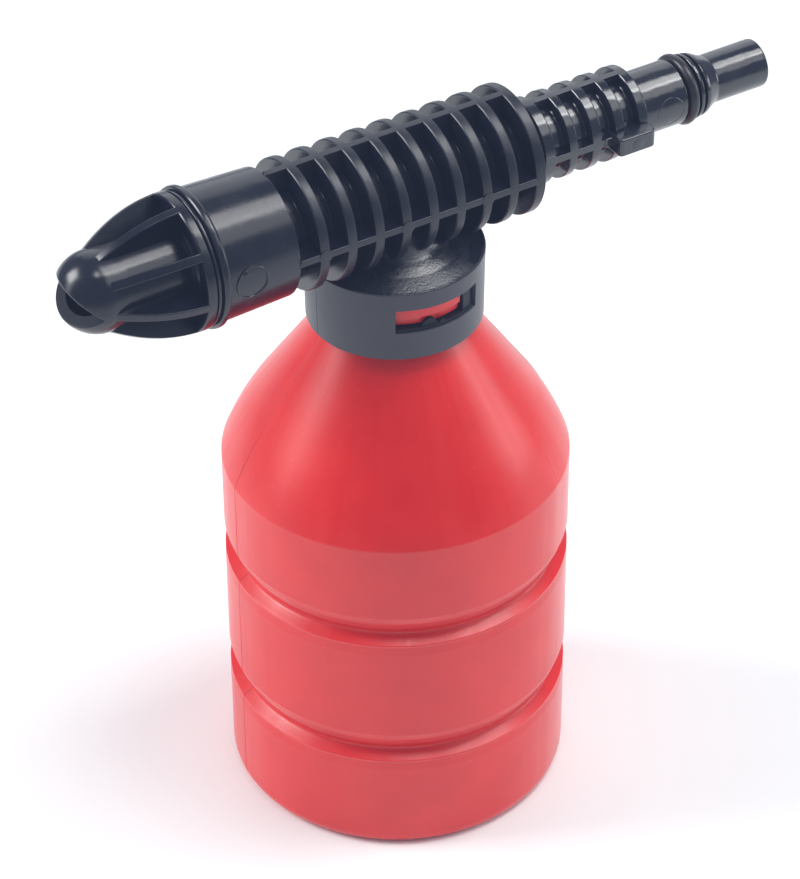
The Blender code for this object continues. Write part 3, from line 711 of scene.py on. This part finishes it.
def mound(low, high, radii, angles):
    """A block with a round crest, swept round Z between two angles in degrees."""
    sections = []
    for step in range(MOUND_STEPS + 1):
        share = step / MOUND_STEPS
        top = low + (high - low) * math.sqrt(max(0.05, math.sin(math.pi * share)))
        angle = math.radians(angles[0] + (angles[1] - angles[0]) * share)
        corners = ((radii[0], low), (radii[1], low), (radii[1], top), (radii[0], top))
        sections.append([(r * math.cos(angle), r * math.sin(angle), z) for r, z in corners])
    return lofted(sections, closed=False)


def make_bayonet():
    """What the windows show: the ledges that carry the lugs, their detent bumps and the stops, in plastic
    dimmed as painted shade.
    """
    solid = Solid()
    for side in (0.0, 180.0):
        ledge = [(LEDGE_R[0], LEDGE_Z[0], 0.3), (LEDGE_R[1], LEDGE_Z[0]), (LEDGE_R[1], LEDGE_Z[1], 0.25),
                 (LEDGE_R[0], LEDGE_Z[1], 0.3)]
        solid.add(sector(rounded(ledge, 3), [angle + side for angle in LEDGE_ANGLES]))
        for low, high, radii, angles in BUMPS:
            solid.add(mound(low, high, radii, [angle + side for angle in angles]))
        stop = [(STOP_R[0], STOP_Z[0]), (STOP_R[1], STOP_Z[0]), (STOP_R[1], STOP_Z[1]),
                (STOP_R[0], STOP_Z[1])]
        solid.add(sector(stop, [angle + side for angle in STOP_ANGLES], 1.0))
    return make_piece("collar_bayonet", solid, "lance", SHADED_BAYONET)


# ---------------------------------------------------------------- barrel


def fin_middles():
    return [FIRST_FIN_X - FIN_PITCH * index for index in range(FIN_COUNT)]


def barrel_outline():
    corners = [(BARREL_REAR_X, 8.8, 0.2), (BARREL_REAR_X, FIN_R, 0.3)]
    for number, middle in enumerate(reversed(fin_middles())):
        root, rim = FIN_THICK / 2 + 0.15, FIN_THICK / 2
        if number:
            corners += [(middle - root, CORE_R, 0.5), (middle - rim, FIN_R, 0.7)]
        corners += [(middle + rim, FIN_R, 0.7), (middle + root, CORE_R, 0.5)]
    return corners + [
        (SLEEVE_REAR_X, CORE_R, 0.5), (SLEEVE_REAR_X, SLEEVE_REAR_R, 0.4), (55.2, 17.0, 0.3),
        (55.5, FLANGE_R - 0.03, 1.2), (SLEEVE_FRONT_X, FLANGE_R - 0.03, 1.0),
        (SLEEVE_FRONT_X, SLEEVE_BORE_R, 0.3), (37.7, SLEEVE_BORE_R),
        (37.7, 5.0), (4.0, 5.0), (4.0, 4.5), (-7.6, 4.5), (-7.6, 8.8)]


def on_sleeve(x, z, sign):
    """A point on the sleeve's side, at a height z above the lance's axis."""
    radius = SLEEVE_REAR_R + (x - SLEEVE_REAR_X) * SLEEVE_FLARE / SLEEVE_FLARE_LENGTH
    y = math.sqrt(radius * radius - z * z)
    return Vector((x, sign * y, z + LANCE_Z)), Vector((0, sign * y, z)).normalized()


def add_round_mark(solid, sign):
    """The shallow ring left by a round insert in the mould, with a nick at its edge."""
    path, outward = [], []
    for step in range(48):
        angle = math.tau * step / 48
        point, normal = on_sleeve(MARK_X + MARK_R * math.cos(angle), MARK_R * math.sin(angle), sign)
        path.append(point - normal * MARK_SINK)
        outward.append(normal)
    solid.add(bead(path, outward, MARK_BEAD_R, closed=True))
    point, normal = on_sleeve(50.8, 2.9, sign)
    nick = turned(rounded([(0.0, -0.4), (0.8, -0.4), (0.75, 0.25, 0.2), (0.0, 0.4)], 3), 16)
    solid.add(nick, Matrix.Translation(point) @ normal.to_track_quat("Z", "X").to_matrix().to_4x4())


def make_barrel():
    solid = Solid()
    solid.add(turned(about_lance(rounded(barrel_outline(), 3)), 144), LANCE)
    rear = fin_middles()[-1]
    for quarter in range(4):
        rib = block((rear, -RIB_THICK / 2, CORE_R - 1.0),
                    (SLEEVE_REAR_X + 0.4, RIB_THICK / 2, FIN_R - 0.01), 0.35)
        solid.add(rib, around_x(quarter * math.pi / 2))
    for sign in (1, -1):
        for index in DISC_FINS:
            disc = turned(rounded([(0.0, -1.5), (DISC_R, -1.5), (DISC_R, 0.1, 0.1), (0.0, 0.1)], 3), 40)
            place = Matrix.Translation((fin_middles()[index], sign * FIN_R, LANCE_Z))
            solid.add(disc, place @ Matrix.Rotation(-sign * math.pi / 2, 4, "X"))
        add_round_mark(solid, sign)
    return make_piece("lance_barrel", solid, "lance", BODY, ["lance_housing"])


def make_clip_ring():
    """The open ring between the sleeve's flange and the nozzle's rim."""
    corners = ((CLIP_X[0], CLIP_R[0]), (CLIP_X[0], CLIP_R[1]), (CLIP_X[1], CLIP_R[1]), (CLIP_X[1], CLIP_R[0]))
    outline = rounded([(*corner, 0.3) for corner in corners], 3)
    sections = []
    for step in range(CLIP_STEPS + 1):
        angle = math.radians(CLIP_START + CLIP_SWEEP * step / CLIP_STEPS)
        sections.append([(x, r * math.cos(angle), r * math.sin(angle) + LANCE_Z) for x, r in outline])
    solid = Solid()
    solid.add(lofted(sections, closed=False))
    return make_piece("clip_ring", solid, "lance", CLIP, ["nozzle_clip_ring"])


# ---------------------------------------------------------------- inlet


def inlet_outline():
    ring_low, ring_high = RING_X - 2.1, RING_X + 2.1
    corners = [(INLET_END_X, 3.9, 0.3), (INLET_END_X, 6.4, 0.5), (-93.2, 6.4, 1.5), (-89.6, 8.2, 0.8),
               (-88.5, 8.4, 0.3), (-88.4, 7.3, 0.2), (-87.6, 7.3, 0.2), (-87.6, 8.6, 0.3),
               (ring_low, 8.6, 0.3), (ring_low, 6.3, 0.3), (ring_high, 6.3, 0.3),
               (ring_high, PLAIN_R, 0.4)]
    for rear, front in reversed(SMALL_FINS):
        corners += [(rear - 0.15, PLAIN_R, 0.4), (rear, SMALL_FIN_R, 0.45), (front, SMALL_FIN_R, 0.45),
                    (front + 0.15, PLAIN_R, 0.4)]
    return corners + [(-36.5, PLAIN_R), (-36.3, 9.6, 0.3), (-34.0, 9.6, 0.2), (-34.0, 8.2), (-21.4, 8.2),
                      (-21.4, 6.2), (-18.6, 6.2), (-18.6, 8.2), (-7.9, 8.2), (-7.9, 3.5), (-14.0, 3.5),
                      (-14.0, 3.2), (INLET_END_X + 0.8, 3.2)]


def make_inlet():
    solid = Solid()
    solid.add(turned(about_lance(rounded(inlet_outline(), 3)), 112), LANCE)
    rear, front = SMALL_FINS[-1][0] + 1.0, SMALL_FINS[0][1] - 1.0
    for angle in (0.0, math.pi):
        rib = block((rear, -0.9, 7.0), (front, 0.9, SMALL_FIN_R - 0.02), 0.2)
        solid.add(rib, around_x(angle))
    for sign in (-1, 1):
        turn = around_x(-sign * math.pi / 2)
        solid.add(block((-55.5, -0.95, 7.0), (front, 0.95, SMALL_FIN_R - 0.02), 0.2), turn)
        solid.add(block((-40.35, -1.55, 7.0), (-37.0, 1.55, SMALL_FIN_R + 0.02), 0.25), turn)
        solid.add(block((-58.4, -1.3, 7.0), (-54.6, 1.3, SMALL_FIN_R + 0.3), 0.3), turn)
        reach = EAR_REACH - 0.1
        ear = rounded([(EAR_X[0], 6.5), (EAR_X[1], 6.5), (EAR_X[1], reach, 1.3), (EAR_X[0], reach, 1.8)], 5)
        solid.add(plate(ear, EAR_THICK, 0.45), turn @ Matrix.Translation((0, sign * EAR_SHIFT, 0)))
        mark = turned(rounded([(0.0, -1.0), (1.6, -1.0), (1.6, 0.08, 0.08), (0.0, 0.08)], 2), 28)
        place = Matrix.Translation((EAR_MARK[0], sign * reach, LANCE_Z + EAR_MARK[1]))
        solid.add(mark, place @ Matrix.Rotation(-sign * math.pi / 2, 4, "X"))
    for sign in (-1, 1):
        path, outward = [], []
        for step in range(40):
            angle = math.tau * step / 40
            x = INLET_MARK_X + INLET_MARK_R * math.cos(angle)
            z = INLET_MARK_R * math.sin(angle)
            y = math.sqrt(PLAIN_R ** 2 - z * z)
            normal = Vector((0, sign * y, z)).normalized()
            path.append(Vector((x, sign * y, z + LANCE_Z)) - normal * 0.05)
            outward.append(normal)
        solid.add(bead(path, outward, INLET_MARK_BEAD_R, closed=True))
    return make_piece("inlet_body", solid, "lance", GLOSSY, ["inlet_connector"])


# ---------------------------------------------------------------- nozzle


def dome_start(radius, across):
    """Angle from +X where a sphere about the dome's centre meets the slot, for a sine across the slot."""
    reach = math.hypot(across, SLOT_SLOPE)
    offset = (DOME_X - SLOT_APEX_X) * SLOT_SLOPE / (radius * reach)
    return math.atan2(SLOT_SLOPE, across) + math.asin(offset)


def nozzle_section(across):
    """The nozzle's closed (x, radius) outline in the half plane at one angle round the lance."""
    outside = rounded([
        (53.3, 11.4), (CAP_REAR_X, 11.7, 0.2), (CAP_REAR_X, 13.8, 0.3), (54.1, 13.8), (54.1, 12.6),
        (56.1, 12.6), (56.1, 13.8), (57.6, 13.8), (57.6, 16.35, 0.2), (58.9, 16.35, 0.2),
        (58.9, CAP_RIM_R, 0.5),
        (CAP_FACE_X, CAP_RIM_R - 0.05, 0.9), (CAP_FACE_X, 15.9, 0.35), (CAP_FLOOR_X, 15.7, 0.4),
        (CAP_FLOOR_X, 11.3, 0.3), (60.9, 10.9, 0.4), (60.9, CAP_TUBE_R, 0.4), (77.0, CAP_TUBE_R, 3.0),
        (81.9, DOME_R - 0.02), (82.0, DOME_R - 0.01)], 3)
    outer_end, inner_end = dome_start(DOME_R, across), dome_start(CAP_BORE_R, across)
    turn = outer_end + SLOT_LIP / DOME_R
    outer = [(DOME_X + DOME_R * math.cos(a), DOME_R * math.sin(a))
             for a in (math.pi / 2 - (math.pi / 2 - turn) * step / 20 for step in range(1, 21))]
    corner = Vector((DOME_X + DOME_R * math.cos(outer_end), DOME_R * math.sin(outer_end)))
    inner = Vector((DOME_X + CAP_BORE_R * math.cos(inner_end), CAP_BORE_R * math.sin(inner_end)))
    start, end = Vector(outer[-1]), corner + (inner - corner).normalized() * SLOT_LIP
    curve = [tuple(start * (1 - t) ** 2 + corner * 2 * t * (1 - t) + end * t * t)
             for t in (0.25, 0.5, 0.75, 1.0)]
    face = [tuple(end.lerp(inner, t)) for t in (0.35, 0.7, 1.0)]
    hollow = [(DOME_X + CAP_BORE_R * math.cos(a), CAP_BORE_R * math.sin(a))
              for a in (inner_end + (math.pi / 2 - inner_end) * step / 14 for step in range(1, 15))]
    return outside + outer + curve + face + hollow + [(61.0, CAP_BORE_R), (57.5, 11.4)]


def make_nozzle():
    solid = Solid()
    steps = 144
    sections = []
    for step in range(steps):
        local = math.tau * step / steps
        angle = CAP_TURN + local
        section = nozzle_section(abs(math.sin(local)))
        sections.append([(x, r * math.cos(angle), r * math.sin(angle) + LANCE_Z) for x, r in section])
    solid.add(lofted(sections))
    crest = [(x, CAP_RIM_R - 0.1 - (x - 60.0) ** 2 / 69.0)
             for x in (60.6 + 21.6 * t / 14 for t in range(15))]
    outline = crest + [(83.6, 9.0), (83.0, 8.6), (60.0, 8.6), (60.0, 16.9)]
    for index in range(8):
        turn = CAP_TURN + math.pi / 4 * index - math.pi / 2
        solid.add(plate(outline, CAP_RIB_THICK, 0.3), around_x(turn))
    return make_piece("fan_nozzle", solid, "nozzle", NOZZLE, ["nozzle_cap"])


# ---------------------------------------------------------------- rings and carried-over nodes


def make_o_ring(name, body, node, middle, section):
    solid = Solid()
    solid.add(turned(ring(middle, section), 120), LANCE)
    return make_piece(name, solid, body, RUBBER, [node])


def dress_nodes():
    looks = {
        "collar_gasket": RUBBER, "nipple_o_ring": RUBBER, "vent_valve": RUBBER, "jet_orifice": BRASS,
        "mixing_tube": ACETAL, "mesh_retainer": ACETAL, "suction_nipple": ACETAL, "foam_mesh": WIRE,
        "check_ball": STEEL, "check_spring": STEEL, "dip_tube": MILKY, "tube_strainer": CLIP,
    }
    for node, look in looks.items():
        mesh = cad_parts[node].data
        mesh.materials.clear()
        mesh.materials.append(look)


# ---------------------------------------------------------------- stage

# Softboxes: name, direction from the lance, direction of the first size, distance, size, radiance
SOFTBOXES = (
    ("backdrop", (-0.50, -0.76, 0.42), (1, 0, 0), 1.6, (1.7, 1.3), 1.0),
    ("overhead", (-0.40, 0.15, 0.90), (1, 0, 0), 1.0, (0.56, 0.40), 6.0),
    ("strip", (-0.41, 0.30, 0.865), (1, 0, 0), 0.96, (0.50, 0.09), 6.0),
    ("front_fill", (-0.41, 0.56, 0.72), (1, 0, 0), 1.05, (0.55, 0.36), 1.9),
    ("top_spot", (0.08, 0.22, 0.97), (1, 0, 0), 1.05, (0.20, 0.20), 9.0),
    ("back_left", (0.66, -0.44, 0.58), (0.6, 0.8, 0), 1.29, (0.52, 0.52), 13.0),
    ("left_side", (0.88, -0.32, 0.28), (0, 1, 0), 1.2, (0.36, 0.6), 2.4),
    ("right_side", (-0.86, 0.44, 0.24), (0.5, 0.8, 0), 1.2, (0.5, 0.5), 3.8),
)
LIGHT_AIM_Z = 0.13
STUDIO_COLOUR = (0.44, 0.50, 0.60, 1.0)
STUDIO_STRENGTH = 0.58
BLACK_LEVELS = (-0.0145, -0.0185, -0.0340)

# Camera, in degrees, metres and millimetres of focal length
CAMERA_AZIMUTH = 148.5355
CAMERA_ELEVATION = 37.7005
CAMERA_ROLL = -0.4013
CAMERA_AIM_Z = 0.1014
CAMERA_DISTANCE = 0.89656
CAMERA_LENS = 142.25
CAMERA_SHIFT = 0.00515


def make_floor():
    bpy.ops.mesh.primitive_plane_add(size=6.0, location=(0, 0, 0))
    floor = bpy.context.object
    floor.name = "floor"
    look = Look("pale_floor", roughness=0.7)
    look.set("Base Color", look.blended(look.noise(300.0), (0.92, 0.94, 0.93), (0.94, 0.96, 0.95)))
    floor.data.materials.append(look.material)


def make_softbox(name, way, along, distance, size, radiance):
    """A rectangular light that faces the lance. Its first size lies as near as it can to one direction."""
    data = bpy.data.lights.new(name, "AREA")
    data.shape = "RECTANGLE"
    data.size, data.size_y = size
    data.energy = radiance * math.pi * size[0] * size[1]
    light = bpy.data.objects.new(name, data)
    bpy.context.scene.collection.objects.link(light)
    back = Vector(way).normalized()
    across = (Vector(along) - back * back.dot(Vector(along))).normalized()
    turn = Matrix((across, back.cross(across), back)).transposed().to_4x4()
    light.matrix_world = Matrix.Translation(Vector((0, 0, LIGHT_AIM_Z)) + back * distance) @ turn


def make_lights():
    world = bpy.data.worlds.new("studio")
    world.use_nodes = True
    world.node_tree.nodes["Background"].inputs["Color"].default_value = STUDIO_COLOUR
    world.node_tree.nodes["Background"].inputs["Strength"].default_value = STUDIO_STRENGTH
    bpy.context.scene.world = world
    for softbox in SOFTBOXES:
        make_softbox(*softbox)


def make_print():
    """Standard colours, with blacks lifted a little towards blue, as the photo's are."""
    tones = bpy.context.scene.view_settings
    tones.view_transform = "Standard"
    tones.use_curve_mapping = True
    tones.curve_mapping.black_level = BLACK_LEVELS
    tones.curve_mapping.update()


def make_camera():
    """A long lens above and in front of the left-hand side, rolled by a fraction of a degree."""
    azimuth, elevation = math.radians(CAMERA_AZIMUTH), math.radians(CAMERA_ELEVATION)
    target = Vector((0, 0, CAMERA_AIM_Z))
    back = Vector((math.sin(azimuth) * math.cos(elevation), -math.cos(azimuth) * math.cos(elevation),
                   math.sin(elevation)))
    data = bpy.data.cameras.new("camera")
    data.lens = CAMERA_LENS
    data.shift_x = CAMERA_SHIFT
    camera = bpy.data.objects.new("camera", data)
    camera.location = target + back * CAMERA_DISTANCE
    camera.rotation_euler = ((-back).to_track_quat("-Z", "Y").to_matrix().to_4x4()
                             @ Matrix.Rotation(math.radians(CAMERA_ROLL), 4, "Z")).to_euler()
    bpy.context.scene.collection.objects.link(camera)
    bpy.context.scene.camera = camera


make_bottle()
make_skirt()
make_turret()
make_bayonet()
make_barrel()
make_clip_ring()
make_inlet()
make_nozzle()
for o_ring in O_RINGS:
    make_o_ring(*o_ring)
dress_nodes()
make_floor()
make_lights()
make_print()
make_camera()
